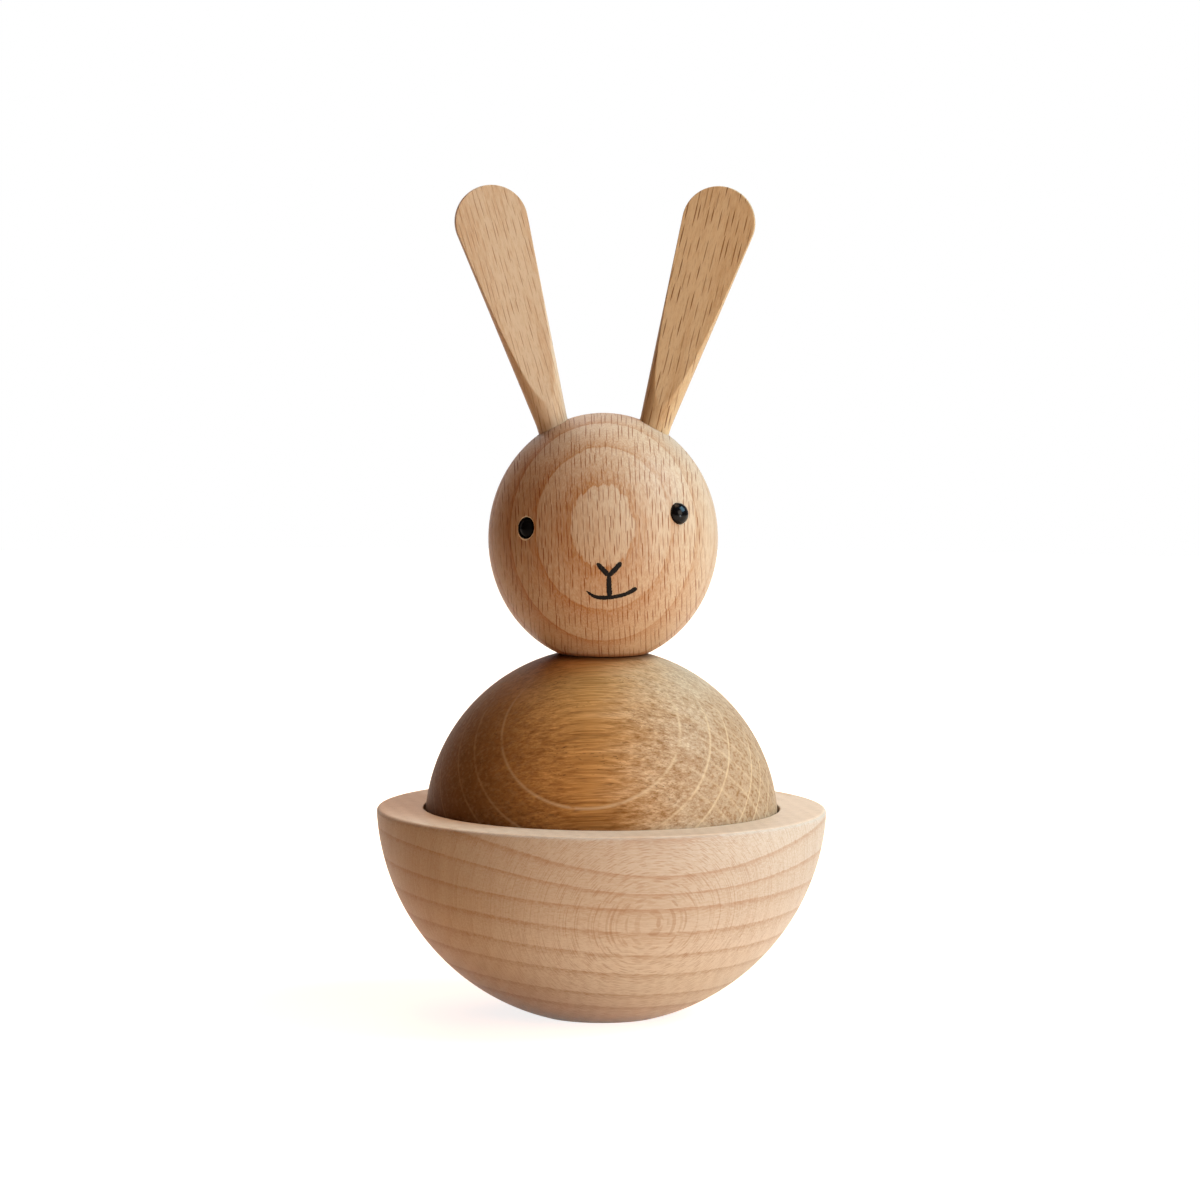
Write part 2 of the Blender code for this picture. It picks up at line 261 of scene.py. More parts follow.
DOWEL_RAYS = Rays((0.9, 5.0), (0.25, 3.0), 0.5, 0.6, 0.9)
SPOT_RANDOMNESS = 0.65
SPOT_SHORTENING = (1.5, 0.7)
SPOT_EDGE = 0.4
FAINTEST_RAY = 0.45

# Wood noise: bumps in a millimetre along and across the fibres, then detail and roughness
BEECH_SWAY_NOISE = (0.05, 0.12, 1.0)
BEECH_TONE_NOISE = (0.03, 0.10)
BEECH_STREAK_NOISE = (0.05, 1.3)
BEECH_FIBRE_NOISE = (0.30, 2.8, 3.0, 0.7)
BEECH_PORE_NOISE = (0.6, 4.6, 2.0, 0.7)
STRAIGHT_LAYER_NOISE = (0.01, 0.5, 1.0)
OAK_WAVER_NOISE = (0.03, 0.08)
OAK_BROAD_NOISE = (0.02, 0.30)
OAK_STREAK_NOISE = (0.03, 1.5, 4.0, 0.7)
OAK_FIBRE_NOISE = (0.10, 3.6, 3.0, 0.65)
OAK_VESSEL_NOISE = (0.14, 2.4, 2.0, 0.6)
OAK_BLOTCH_NOISE = (0.22, 1.30, 3.0, 0.6)
OAK_GATHER_NOISE = (0.05, 0.22, 1.0)
OAK_PIT_NOISE = (0.8, 4.0, 1.0)
OAK_RAY_BREAK_NOISE = (0.30, 0.30)

# Layer noise: bumps in a millimetre in three directions
HEAD_RAGGED_NOISE = (0.9, 0.20, 0.3)
HEAD_WAVER_NOISE = (0.10, 0.08, 0.1)
BASE_RAGGED_NOISE = (0.9, 1.2, 0.3)
BASE_WAVER_NOISE = (0.06, 0.06, 0.10)
EAR_BAND_NOISE = (0.018, 0.22, 0.3)
OAK_RAY_SWAY_NOISE = (0.06, 0.05, 0.06)

# Wood steps: where an effect starts and where it is full, in millimetres, in noise or in how squarely a face
# looks along an axis. Heights count from the centre of the ball that the base or the dome is part of.
# Where the base's painted bounce light from the floor starts and is full, below the ball's centre
BEECH_PAINTED_BOUNCE_STEP = (-14.0, -32.0)
# Where the painted warm light on up-facing faces starts and is full
BEECH_PAINTED_TOP_LIGHT_STEP = (0.55, 0.97)
BEECH_BROADSIDE_STEP = (0.80, 0.96)
BEECH_PORE_STEP = (0.50, 0.72)
HEAD_RAGGED_STEP = (5.0, 2.0)
# Where the head's layers go from darker (painted shade) to fainter (painted light), across the head
HEAD_PAINTED_LIGHT_FADE_STEP = (-10.0, 16.0)
BASE_TILT_STEP = (-16.0, -1.0)
BASE_WAVE_STEP = (13.0, 8.0)
# Where the base's layers pale with painted bounce light from the floor
BASE_PAINTED_BOUNCE_PALE_STEP = (-16.0, -34.0)
EAR_EDGE_STEP = (2.5, 7.0)
EAR_BAND_STEP = (0.45, 0.75)
OAK_END_STEP = (0.30, 0.85)
# Where the dome's darker left end, partly painted shade, starts and is full
OAK_DARK_END_AND_SHADE_STEP = (-0.1, -0.75)
OAK_FRESH_STEP = (0.35, 0.75)
OAK_FOOT_STEP = (14.0, 3.0)
OAK_FOOT_END_STEP = (0.45, 0.0)
# Where the pale right end, partly painted light and sheen, starts and is full
OAK_PALE_END_AND_LIGHT_STEP = (-0.05, 0.64)
OAK_FAR_PALE_STEP = (-0.40, -1.0)
OAK_PORE_STEP = (0.56, 0.70)
OAK_BLOTCH_STEP = (0.44, 0.70)
OAK_GATHER_STEP = (0.50, 0.62)
OAK_PIT_STEP = (0.64, 0.72)
OAK_RAY_BREAK_STEP = (0.16, 0.46)
OAK_RAY_FADE_STEP = (4.0, 16.0)
# Painted light: the dome lightens towards its top, between these heights
OAK_PAINTED_CROWN_LIGHT_STEP = (22.0, 36.0)

# Layer shapes: millimetres, slopes, and waves with a size, a shift and the radians in a millimetre.
# A pair is for the start and the end of a step. The head's fade scales the tone of its layers across it:
# darker on the left as painted shade, fainter on the right as painted light.
HEAD_WAVER = 0.7
HEAD_RAGGED = (0.7, 1.2)
HEAD_PAINTED_LIGHT_FADE = (1.15, 0.65)
BASE_WAVER = 0.5
BASE_RAGGED = 0.45
BASE_SLOPE = 0.05
BASE_TILT = (0.05, 0.17)
BASE_TILT_LEAN = 0.1
BASE_SWELL = (0.6, 8.0, 0.075)
BASE_WAVE = (2.2, 3.0, 0.065)
OAK_WAVER = 1.6
OAK_LAYER_SLANT = 0.28
OAK_RAY_SWAY = 0.25

# Wood strengths: how far each effect takes the colour. A pair is for end grain and along the grain.
BEECH_TONE_STRENGTH = 0.35
BEECH_STREAK_STRENGTH = 0.45
BEECH_FIBRE_STRENGTH = 1.6
# How far the painted warm light on up-facing faces takes the colour
BEECH_PAINTED_TOP_LIGHT_STRENGTH = 0.6
BEECH_PORE_STRENGTH = 0.24
# How much the painted bounce light pales the base's layers
BASE_PAINTED_BOUNCE_PALE_STRENGTH = 0.2
EAR_BAND_STRENGTH = 0.5
EAR_EDGE_STRENGTH = 0.35
OAK_TONE = 0.55
OAK_STREAK_STRENGTH = (0.4, 2.4)
OAK_BROAD_STRENGTH = 0.5
# How much painted light lightens the top of the dome
OAK_PAINTED_CROWN_LIGHT_STRENGTH = 0.3
OAK_FOOT_STRENGTH = 0.35
OAK_PALE_RAGGED = 0.25
OAK_FAR_PALE_STRENGTH = 0.3
OAK_FIBRE_TONE = 0.13
OAK_FIBRE_STRENGTH = (0.3, 1.7)
OAK_LATE_PORES = 0.25
OAK_PORE_STRENGTH = (0.25, 0.60)
OAK_BLOTCH_STRENGTH = 0.50
OAK_FRESH_BLOTCH_STRENGTH = 0.20
OAK_FLECK_STRENGTH = 0.18
OAK_PIT_STRENGTH = 0.7
# How far the darker left end, partly painted shade, takes the dome's colour
OAK_DARK_END_AND_SHADE_STRENGTH = 0.66
OAK_LAYER_LINE_STRENGTH = 0.32
OAK_RAY_STRENGTH = 0.5
OAK_FRESH_RAY_GAIN = 0.2
OAK_DARK_END_AND_SHADE_RAY_LOSS = 0.28
OAK_RAY_FADE = 0.85
# How dark the painted shade round the neck makes the dome
OAK_NECK_SHADE_STRENGTH = 0.6

# Across one growth layer of the oak: its pores and a pale line, as (share of the layer, strength)
OAK_EARLY_WOOD = [(0.0, 0.2), (0.10, 1.0), (0.45, 0.35), (1.0, 0.2)]
OAK_LAYER_LINE = [(0.0, 0.4), (0.06, 0.0), (0.82, 0.0), (0.96, 1.0), (1.0, 0.4)]

# Black lacquer and ink: noise is bumps in a millimetre along X, Y and Z, and relief is metres
BLACK_DEEP = (8, 8, 9)
BLACK_RUBBED = (16, 15, 15)
BLACK_ROUGHNESS = (0.12, 0.26)
BLACK_RELIEF = 0.00003
RUBBED_NOISE = (1.0, 4.0, 1.0)
RUBBED_STEP = (0.35, 0.75)
EYE_DULL_GLOSS = 0.02
EYE_BRIGHT_GLOSS = 0.14
INK_DEEP = (15, 14, 14)
INK_THIN = (48, 38, 32)
INK_GLOSS = 0.10
INK_ROUGHNESS = (0.55, 0.80)
INK_RELIEF = 0.00004
SOAKED_NOISE = (5.0, 1.0, 1.2)
THIN_INK_STEP = (0.42, 0.78)

MM = 1000.0
X_AXIS = (1, 0, 0)
Y_AXIS = (0, 1, 0)
Z_AXIS = (0, 0, 1)
JOINTS = {joint["name"]: joint for joint in frame["joints"]}
BALL_CENTRE_Z = math.sqrt(BASE_RADIUS**2 - FOOT_RADIUS**2)
RIM_Z = BALL_CENTRE_Z - RIM_BELOW_BALL_CENTRE
DOME_Z = JOINTS["dome_turn"]["pos_m"][2]
DOME_HEIGHT = math.sqrt(DOME_RADIUS**2 - NECK_FLAT_RADIUS**2)
HEAD_FLAT_DROP = HEAD_HALF_HEIGHT * math.sqrt(1 - (HEAD_FLAT_RADIUS / HEAD_RADIUS) ** 2)
HEAD_Z = JOINTS["head_turn"]["pos_m"][2] + HEAD_FLAT_DROP


# Shader graphs: a field is one node output, and arithmetic on fields adds nodes
class Field:
    """A value that varies over a surface."""

    def __init__(self, socket):
        self.socket = socket
        self.tree = socket.id_data

    def __add__(self, other):
        return calc("ADD", self, other)

    def __sub__(self, other):
        return calc("SUBTRACT", self, other)

    def __rsub__(self, other):
        return calc("SUBTRACT", other, self)

    def __mul__(self, other):
        return calc("MULTIPLY", self, other)

    __radd__ = __add__
    __rmul__ = __mul__


def feed(socket, value):
    """Link a field to a socket, or set the socket's own value."""
    if isinstance(value, Field):
        value.tree.links.new(value.socket, socket)
    else:
        socket.default_value = value


def calc(operation, *terms):
    tree = next(term.tree for term in terms if isinstance(term, Field))
    node = tree.nodes.new("ShaderNodeMath")
    node.operation = operation
    for socket, term in zip(node.inputs, terms):
        feed(socket, term)
    return Field(node.outputs[0])


def along(place, axis):
    """How far a place lies along an axis."""
    node = place.tree.nodes.new("ShaderNodeVectorMath")
    node.operation = "DOT_PRODUCT"
    feed(node.inputs[0], place)
    node.inputs[1].default_value = axis
    return Field(node.outputs["Value"])


def xyz(place):
    """How far a place lies along X, Y and Z."""
    return [along(place, axis) for axis in (X_AXIS, Y_AXIS, Z_AXIS)]


def vector(x, y, z):
    tree = next(part.tree for part in (x, y, z) if isinstance(part, Field))
    node = tree.nodes.new("ShaderNodeCombineXYZ")
    for socket, part in zip(node.inputs, (x, y, z)):
        feed(socket, part)
    return Field(node.outputs[0])


def stretched(parts, scales):
    """A place made of three parts, each times its own scale."""
    return vector(*(part * scale for part, scale in zip(parts, scales)))


def noise(place, detail=2.0, roughness=0.5):
    """Soft random values from 0 to 1, about one bump for each unit of the place."""
    node = place.tree.nodes.new("ShaderNodeTexNoise")
    feed(node.inputs["Vector"], place)
    node.inputs["Scale"].default_value = 1.0
    node.inputs["Detail"].default_value = detail
    node.inputs["Roughness"].default_value = roughness
    return Field(node.outputs["Fac"])


def smooth(field, start, full):
    """0 before start, 1 past full and a soft step between them, upwards or downwards."""
    node = field.tree.nodes.new("ShaderNodeMapRange")
    node.interpolation_type = "SMOOTHSTEP"
    feed(node.inputs["Value"], field)
    feed(node.inputs["From Min"], start)
    feed(node.inputs["From Max"], full)
    return Field(node.outputs["Result"])


def between(share, start, end):
    """A number between two numbers."""
    return share * (end - start) + start


def wave(field, size, shift, pitch):
    """A sine wave along a field."""
    return calc("SINE", (field + shift) * pitch) * size


def curve(field, points):
    """Straight lines through (value, result) points, at most 32 of them."""
    points = sorted(points)
    low, high = points[0][0], points[-1][0]
    node = field.tree.nodes.new("ShaderNodeValToRGB")
    feed(node.inputs["Fac"], (field - low) * (1 / (high - low)))
    stops = node.color_ramp.elements
    for index, (value, result) in enumerate(points):
        position = (value - low) / (high - low)
        stop = stops[index] if index < 2 else stops.new(position)
        stop.position = position
        stop.color = (result, result, result, 1.0)
    return Field(node.outputs["Color"])


def blend(share, start, end):
    """A colour between two colours."""
    tree = next(item.tree for item in (share, start, end) if isinstance(item, Field))
    node = tree.nodes.new("ShaderNodeMix")
    node.data_type = "RGBA"
    feed(node.inputs["Factor"], share)
    feed(node.inputs[6], start)
    feed(node.inputs[7], end)
    return Field(node.outputs[2])


def spots(across, lengthways, cell, size):
    """Long pointed spots in millimetres, one in each random cell, and a random number for each of them."""
    node = across.tree.nodes.new("ShaderNodeTexVoronoi")
    node.voronoi_dimensions = "2D"
    place = vector(across * (1 / cell[0]), lengthways * (1 / cell[1]), 0.0)
    feed(node.inputs["Vector"], place)
    node.inputs["Scale"].default_value = 1.0
    node.inputs["Randomness"].default_value = SPOT_RANDOMNESS
    split = across.tree.nodes.new("ShaderNodeSeparateColor")
    feed(split.inputs[0], Field(node.outputs["Color"]))
    chance, strength = Field(split.outputs[0]), Field(split.outputs[1])
    middle = Field(node.outputs["Position"])
    aside = calc("ABSOLUTE", along(place, X_AXIS) - along(middle, X_AXIS)) * (2 * cell[0] / size[0])
    onward = (along(place, Y_AXIS) - along(middle, Y_AXIS)) * (2 * cell[1] / size[1])
    onward = onward * between(chance, *SPOT_SHORTENING)
    return smooth(1.0 - onward * onward - aside, 0.0, SPOT_EDGE), strength


def linear(red, green, blue):
    """A colour given as 0 to 255 display values, as the shader takes it."""
    def channel(value):
        value /= 255
        return value / 12.92 if value <= 0.04045 else ((value + 0.055) / 1.055) ** 2.4

    return (channel(red), channel(green), channel(blue), 1.0)


def new_material(name, centre=(0.0, 0.0, 0.0)):
    """A material, its shader, and the place on the surface in millimetres from a centre."""
    material = bpy.data.materials.new(name)
    material.use_nodes = True
    tree = material.node_tree
    shader = tree.nodes["Principled BSDF"]
    coordinates = tree.nodes.new("ShaderNodeTexCoord")
    scaled = tree.nodes.new("ShaderNodeVectorMath")
    scaled.operation = "MULTIPLY_ADD"
    tree.links.new(coordinates.outputs["Object"], scaled.inputs[0])
    scaled.inputs[1].default_value = (MM, MM, MM)
    scaled.inputs[2].default_value = [-MM * value for value in centre]
    return material, shader, Field(scaled.outputs[0])


def relief(shader, height, strength, depth):
    """Fine surface relief: the height field is 0 to 1 and the depth is in metres."""
    node = height.tree.nodes.new("ShaderNodeBump")
    node.inputs["Strength"].default_value = strength
    node.inputs["Distance"].default_value = depth
    feed(node.inputs["Height"], height)
    height.tree.links.new(node.outputs["Normal"], shader.inputs["Normal"])


# Woods
def facing(tree, axis):
    """How squarely the surface faces along an axis, -1 to 1, in the piece's own frame."""
    coordinates = tree.nodes.new("ShaderNodeTexCoord")
    return along(Field(coordinates.outputs["Normal"]), axis)


def wood_grain(place, directions):
    """The unit axes of a grain, and how far a place lies along each of them."""
    axes = Grain(*(Vector(direction).normalized() for direction in directions))
    return axes, Grain(*(along(place, axis) for axis in axes))


def grain_noise(grain, lengthways, across, detail=2.0, roughness=0.5):
    """Noise drawn out along the fibres: so many bumps in a millimetre along them and across them."""
    return noise(stretched(grain, (lengthways, across, across)), detail, roughness)


def oiled(shader, gloss, bloom):
    """A weak gloss and the soft pale bloom of sanded fibres."""
    shader.inputs["Specular IOR Level"].default_value = gloss
    shader.inputs["Sheen Weight"].default_value = bloom
    shader.inputs["Sheen Roughness"].default_value = BLOOM_ROUGHNESS


def beech(name, centre, directions, layers, colours, rays,
          roughness=BEECH_ROUGHNESS, gloss=BEECH_GLOSS, top=None, low=None):
    """Beech as a solid: growth layers, thin rays across them and fine fibres, cut by the surface.

    layers gives how dark the growth layers are at a place. top is painted warm light on the faces that look
    up, and low is a paler tone well below the centre, painted bounce light from the floor.
    """
    light, dark, ray_colour = (linear(*colour) for colour in colours)
    material, shader, place = new_material(name, centre)
    # Painted bounce light: the light tone turns paler well below the centre
    if low:
        light = blend(smooth(along(place, Z_AXIS), *BEECH_PAINTED_BOUNCE_STEP), light, linear(*low))
    axes, grain = wood_grain(place, directions)
    sway = grain_noise(grain, *BEECH_SWAY_NOISE) - 0.5
    tone = grain_noise(grain, *BEECH_TONE_NOISE) - 0.5
    streaks = grain_noise(grain, *BEECH_STREAK_NOISE) - 0.5
    fibres = grain_noise(grain, *BEECH_FIBRE_NOISE)
    pores = grain_noise(grain, *BEECH_PORE_NOISE)
    dashes, strength = spots(grain.through + sway * rays.sway, grain.fibre, rays.cell, rays.size)
    broadside = smooth(calc("ABSOLUTE", facing(place.tree, axes.through)), *BEECH_BROADSIDE_STEP)
    dashes = dashes * between(strength, FAINTEST_RAY, 1.0) * (1.0 - broadside * rays.fade)
    darkness = layers(place, grain) + tone * BEECH_TONE_STRENGTH + streaks * BEECH_STREAK_STRENGTH
    wood = blend(darkness + (fibres - 0.5) * BEECH_FIBRE_STRENGTH, light, dark)
    # Painted light: faces that look up take a warmer, paler colour
    if top:
        painted_top_light = smooth(facing(place.tree, Z_AXIS), *BEECH_PAINTED_TOP_LIGHT_STEP)
        wood = blend(painted_top_light * BEECH_PAINTED_TOP_LIGHT_STRENGTH, wood, linear(*top))
    wood = blend(smooth(pores, *BEECH_PORE_STEP) * BEECH_PORE_STRENGTH, wood, ray_colour)
    wood = blend(dashes * rays.share, wood, ray_colour)
    oiled(shader, gloss, BLOOM)
    feed(shader.inputs["Base Color"], wood)
    feed(shader.inputs["Roughness"], (fibres - 0.5) * 0.18 + dashes * 0.06 + roughness)
    relief(shader, fibres * 0.5 + pores * 0.35 - dashes * 0.6, 0.35, BEECH_RELIEF)
    return material


def behind_edge(depth, edges):
    """How far a depth lies past the last layer edge before it, as a share of LAYER_ROOM."""
    points = [(edges[0] - LAYER_ROOM, 0.0)]
    for before, edge in zip([edges[0] - LAYER_ROOM] + edges, edges):
        points += [(edge - LAYER_EDGE, min(1.0, (edge - before) / LAYER_ROOM)), (edge + LAYER_EDGE, 0.0)]
    return curve(depth, points + [(edges[-1] + LAYER_ROOM, 1.0)])


def layer_tone(depth, edges, tones):
    """How dark the layers are along a depth, from (millimetres past an edge, darkness) pairs."""
    return curve(behind_edge(depth, edges), [(past / LAYER_ROOM, tone) for past, tone in tones])


def head_layers(place, grain):
    """Layers hollow towards the front, showing as rings round the nose, with painted shade close to the neck.
    """
    fibre, through, outward = grain
    side = along(place, X_AXIS)
    ragged = noise(stretched((through, fibre, outward), HEAD_RAGGED_NOISE), 3.0, 0.55) - 0.5
    waver = noise(stretched((through, fibre, outward), HEAD_WAVER_NOISE), 1.0) - 0.5
    depth = HEAD_FRONT_MM - (outward - side * side * HEAD_LAYER_HOLLOW) + waver * HEAD_WAVER
    depth = depth + ragged * between(smooth(depth, *HEAD_RAGGED_STEP), *HEAD_RAGGED)
    # Painted shade and light: the layers darker on the head's left and fainter on its right
    fade = between(smooth(side, *HEAD_PAINTED_LIGHT_FADE_STEP), *HEAD_PAINTED_LIGHT_FADE)
    above_neck = along(place, Z_AXIS) + HEAD_FLAT_DROP * MM
    # Painted shade just above the neck, where the head meets the dome
    neck_shade = smooth(above_neck, HEAD_NECK_SHADE_TOP, HEAD_NECK_SHADE_BOTTOM)
    return layer_tone(depth, HEAD_LAYER_DEPTHS, HEAD_LAYER_TONES) * fade + neck_shade


def base_layers(place, _grain):
    """Nearly level layers that rise towards the back near the rim."""
    x, y, z = xyz(place)
    front = y * calc("ABSOLUTE", y) * (-1 / BASE_RADIUS / MM)
    tilt = between(smooth(z + front * BASE_TILT_LEAN, *BASE_TILT_STEP), *BASE_TILT)
    waver = noise(stretched((x, y, z), BASE_WAVER_NOISE), 1.0) - 0.5
    ragged = noise(stretched((x, y, z), BASE_RAGGED_NOISE), 2.0) - 0.5
    depth = waver * BASE_WAVER + ragged * BASE_RAGGED - z - x * BASE_SLOPE
    depth = depth - front * tilt - wave(x, *BASE_SWELL)
    depth = depth - smooth(depth, *BASE_WAVE_STEP) * wave(x, *BASE_WAVE)
    # Painted bounce light from the floor: the layers turn paler low on the base
    pale = smooth(z, *BASE_PAINTED_BOUNCE_PALE_STEP) * BASE_PAINTED_BOUNCE_PALE_STRENGTH
    return layer_tone(depth, BASE_LAYER_DEPTHS, BASE_LAYER_TONES) - pale


def ear_layers(_place, grain):
    """Darker towards both edges of the ear, with faint bands along it."""
    band = noise(stretched(grain, EAR_BAND_NOISE), 2.0)
    edges = smooth(calc("ABSOLUTE", grain.through), *EAR_EDGE_STEP)
    return smooth(band, *EAR_BAND_STEP) * EAR_BAND_STRENGTH + edges * EAR_EDGE_STRENGTH


def straight_layers(_place, grain):
    """Soft straight layers along the fibres."""
    return grain_noise(grain, *STRAIGHT_LAYER_NOISE)


def oak(name):
    """Oak as a solid: fine streaks, pores along the layers, and pale rays right through it.

    The paler, blotched end is partly painted light, the darker end partly painted shade, and the neck gets
    painted shade.
    """
    material, shader, place = new_material(name, (0.0, 0.0, DOME_Z))
    axes, grain = wood_grain(place, DOME_GRAIN)
    end = facing(place.tree, axes.fibre)
    end_grain = smooth(calc("ABSOLUTE", end), *OAK_END_STEP)
    # The dome's left end, away from the key light: partly darker wood, partly painted shade
    shade = smooth(end, *OAK_DARK_END_AND_SHADE_STEP)
    fresh_end = smooth(end, *OAK_FRESH_STEP)
    z = along(place, Z_AXIS)
    foot = smooth(z, *OAK_FOOT_STEP) * smooth(end, *OAK_FOOT_END_STEP)
    waver = grain_noise(grain, *OAK_WAVER_NOISE) - 0.5
    layer = grain.outward - grain.through * OAK_LAYER_SLANT + waver * OAK_WAVER
    phase = calc("FRACT", layer * (1 / DOME_LAYER_STEP))
    early = curve(phase, OAK_EARLY_WOOD)
    layer_line = curve(phase, OAK_LAYER_LINE)
    broad = grain_noise(grain, *OAK_BROAD_NOISE) - 0.5
    # The right end, towards the key light, is paler: pale end grain, partly painted light and sheen
    pale_end_and_light = smooth(end + broad * OAK_PALE_RAGGED, *OAK_PALE_END_AND_LIGHT_STEP)
    pale_end_and_light = pale_end_and_light + smooth(end, *OAK_FAR_PALE_STEP) * OAK_FAR_PALE_STRENGTH
    streaks = grain_noise(grain, *OAK_STREAK_NOISE)
    fibres = grain_noise(grain, *OAK_FIBRE_NOISE)
    vessels = grain_noise(grain, *OAK_VESSEL_NOISE)
    pores = smooth(vessels, *OAK_PORE_STEP) * between(early, OAK_LATE_PORES, 1.0)
    blotches = smooth(grain_noise(grain, *OAK_BLOTCH_NOISE), *OAK_BLOTCH_STEP)
    gathered = smooth(grain_noise(grain, *OAK_GATHER_NOISE), *OAK_GATHER_STEP)
    pits = smooth(grain_noise(grain, *OAK_PIT_NOISE), *OAK_PIT_STEP) * gathered
    sway = (noise(stretched(grain, OAK_RAY_SWAY_NOISE)) - 0.5) * OAK_RAY_SWAY
    rays = curve(grain.through + sway, ray_profile(DOME_RAY_PLACES, DOME_RAY_HALF))
    broken = grain_noise(grain, *OAK_RAY_BREAK_NOISE)
    fading = smooth(grain.outward, *OAK_RAY_FADE_STEP) * OAK_RAY_FADE
    rays = rays * smooth(broken, *OAK_RAY_BREAK_STEP) * (1.0 - fading)
    along_grain = 1.0 - end_grain
    tone = (streaks - 0.5) * between(along_grain, *OAK_STREAK_STRENGTH) + OAK_TONE
    # The dome lightens towards its top under the head: painted light
    tone = tone + broad * OAK_BROAD_STRENGTH + smooth(z, *OAK_PAINTED_CROWN_LIGHT_STEP) * OAK_PAINTED_CROWN_LIGHT_STRENGTH
    pale = blend(pale_end_and_light, linear(*OAK_GOLD), linear(*OAK_END_AND_SHEEN))
    wood = blend(tone - foot * along_grain * OAK_FOOT_STRENGTH, linear(*OAK_DARK), pale)
    threads = (fibres - 0.5) * between(along_grain, *OAK_FIBRE_STRENGTH) + OAK_FIBRE_TONE
    wood = blend(threads, wood, linear(*OAK_FIBRE))
    wood = blend(pores * between(along_grain, *OAK_PORE_STRENGTH), wood, linear(*OAK_PORE))
    blotched = end_grain * OAK_BLOTCH_STRENGTH + fresh_end * OAK_FRESH_BLOTCH_STRENGTH
    wood = blend(blotches * blotched, wood, linear(*OAK_DARK))
    wood = blend(pits * OAK_PIT_STRENGTH, wood, linear(*OAK_PIT_AND_SHADE))
    # Darken the left end: partly darker wood, partly painted shade
    wood = blend(shade * OAK_DARK_END_AND_SHADE_STRENGTH, wood, linear(*OAK_DARK_END_AND_SHADE))
    flecks = layer_line * fresh_end * OAK_LAYER_LINE_STRENGTH + blotches * shade * OAK_FLECK_STRENGTH
    wood = blend(flecks, wood, linear(*OAK_RAY))
    paler = fresh_end * OAK_FRESH_RAY_GAIN + OAK_RAY_STRENGTH - shade * OAK_DARK_END_AND_SHADE_RAY_LOSS
    wood = blend(rays * paler, wood, linear(*OAK_RAY))
    # Painted shade on the dome's top round the neck, under the head
    neck_shade = smooth(z, DOME_HEIGHT * MM - DOME_NECK_SHADE, DOME_HEIGHT * MM)
    wood = blend(neck_shade * OAK_NECK_SHADE_STRENGTH, wood, linear(*OAK_PIT_AND_SHADE))
    oiled(shader, OAK_GLOSS, 0.0)
    feed(shader.inputs["Base Color"], wood)
    feed(shader.inputs["Roughness"], (fibres - 0.5) * 0.2 + OAK_ROUGHNESS)
    relief(shader, fibres * 0.5 - pores * 0.6 + rays * 0.3, 0.4, OAK_RELIEF)
    return material


def ray_profile(places, half):
    """Points of a curve that peaks at each place."""
    points = [(0.0, 0.0)]
    for place in sorted(places):
        points += [(place - half, 0.0), (place, 1.0), (place + half, 0.0)]
    return points


def gloss_black(name, gloss):
    """Black lacquer with faint rubbing marks."""
    material, shader, place = new_material(name)
    rubbed = noise(stretched(xyz(place), RUBBED_NOISE), 4.0, 0.6)
    shader.inputs["Specular IOR Level"].default_value = gloss
    feed(shader.inputs["Base Color"], blend(rubbed, linear(*BLACK_DEEP), linear(*BLACK_RUBBED)))
    feed(shader.inputs["Roughness"], between(smooth(rubbed, *RUBBED_STEP), *BLACK_ROUGHNESS))
    relief(shader, rubbed, 0.10, BLACK_RELIEF)
    return material


def ink(name):
    """Black felt-pen ink that has soaked unevenly into the wood."""
    material, shader, place = new_material(name)
    soaked = noise(stretched(xyz(place), SOAKED_NOISE), 3.0)
    shader.inputs["Specular IOR Level"].default_value = INK_GLOSS
    thin = smooth(soaked, *THIN_INK_STEP)
    feed(shader.inputs["Base Color"], blend(thin, linear(*INK_DEEP), linear(*INK_THIN)))
    feed(shader.inputs["Roughness"], between(soaked, *INK_ROUGHNESS))
    relief(shader, soaked, 0.25, INK_RELIEF)
    return material


# Meshes
def finish_mesh(name, mesh, material, sharp=SHARP_ANGLE):
    """A smooth-shaded piece with its material."""
    mesh.shade_smooth()
    mesh.set_sharp_from_angle(angle=sharp)
    mesh.materials.append(material)
    piece = bpy.data.objects.new(name, mesh)
    bpy.context.scene.collection.objects.link(piece)
    return piece


def mesh_from(bm, name):
    """A mesh of what was built, with its faces turned outwards."""
    bmesh.ops.recalc_face_normals(bm, faces=bm.faces)
    mesh = bpy.data.meshes.new(name)
    bm.to_mesh(mesh)
    bm.free()
    return mesh


def join_rows(bm, rows):
    """Faces between closed rows that have as many points each."""
    count = len(rows[0])
    for lower, upper in zip(rows, rows[1:]):
        for step in range(count):
            after = (step + 1) % count
            bm.faces.new((lower[step], lower[after], upper[after], upper[step]))


def arc(radius, start, end, centre_z=0.0, stretch=1.0):
    """Points (r, z) on a circle round the axis, or one stretched along Z."""
    steps = math.ceil(abs(end - start) / ARC_STEP)
    angles = [start + (end - start) * step / steps for step in range(steps + 1)]
    return [(radius * math.cos(a), centre_z + stretch * radius * math.sin(a)) for a in angles]


